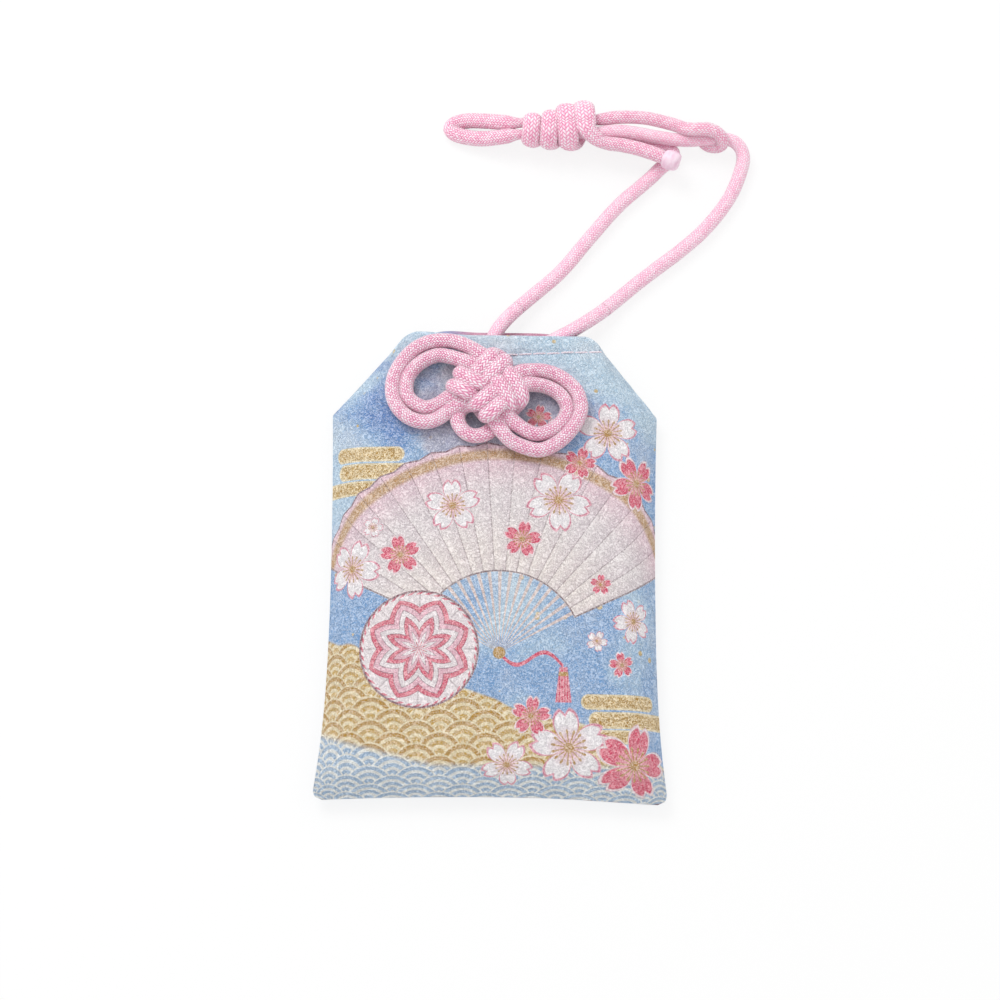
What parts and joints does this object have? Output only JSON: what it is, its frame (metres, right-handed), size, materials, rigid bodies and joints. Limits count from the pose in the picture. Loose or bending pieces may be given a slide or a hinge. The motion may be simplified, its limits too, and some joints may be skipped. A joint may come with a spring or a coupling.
{
  "type": "omamori charm",
  "caption": "Cloth amulet pouch with crowned printed front, double kano knot of braided cord, and a hanging cord that ends in a loop with a slip knot.",
  "frame": {"origin": "under the middle of the pouch, on the surface it lies on", "axes": "+Y from the base to the mouth, +X to the right seen from the front, +Z out of the printed front"},
  "size_m": [0.064, 0.1097, 0.0123],
  "materials": {
    "print_cloth": "printed crepe, matt",
    "thread": "matt",
    "wadding": "soft, matt",
    "paper": "paper, matt",
    "board": "plain",
    "cord": "braided, soft sheen",
    "melted_cord": "melted, smooth"
  },
  "bodies": {
    "pouch": {"front_panel": "print_cloth", "back_panel": "print_cloth", "front_hem_thread": "thread", "back_hem_thread": "thread", "side_seam_thread": "thread", "front_wadding": "wadding", "paper_wrapper": "paper", "charm_board": "board", "knot_lead_left": "cord", "knot_lead_right": "cord"},
    "knot": {"front_knot": "cord"},
    "hanger": {"left_strand": "cord", "right_strand": "cord", "end_loop": "cord", "stop_knot": "cord"},
    "slip": {"slip_knot": "cord", "melted_tip": "melted_cord"}
  },
  "joints": [
    {"name": "cord_swing", "type": "hinge", "parent": "pouch", "child": "hanger", "pos_m": [0.0058, 0.0362, 0.0029], "axis": [1, 0, 0], "range_deg": [0, 90], "deforming": ["knot_lead_left", "knot_lead_right"]},
    {"name": "front_knot_lift", "type": "hinge", "parent": "pouch", "child": "knot", "pos_m": [0.001, 0.0332, 0.005], "axis": [-1, 0, 0], "range_deg": [0, 40], "deforming": ["knot_lead_left", "knot_lead_right"]},
    {"name": "slip_knot_slide", "type": "slide", "parent": "hanger", "child": "slip", "axis": [-1, 0, 0], "range_m": [0, 0.007], "deforming": ["left_strand", "end_loop"]}
  ]
}
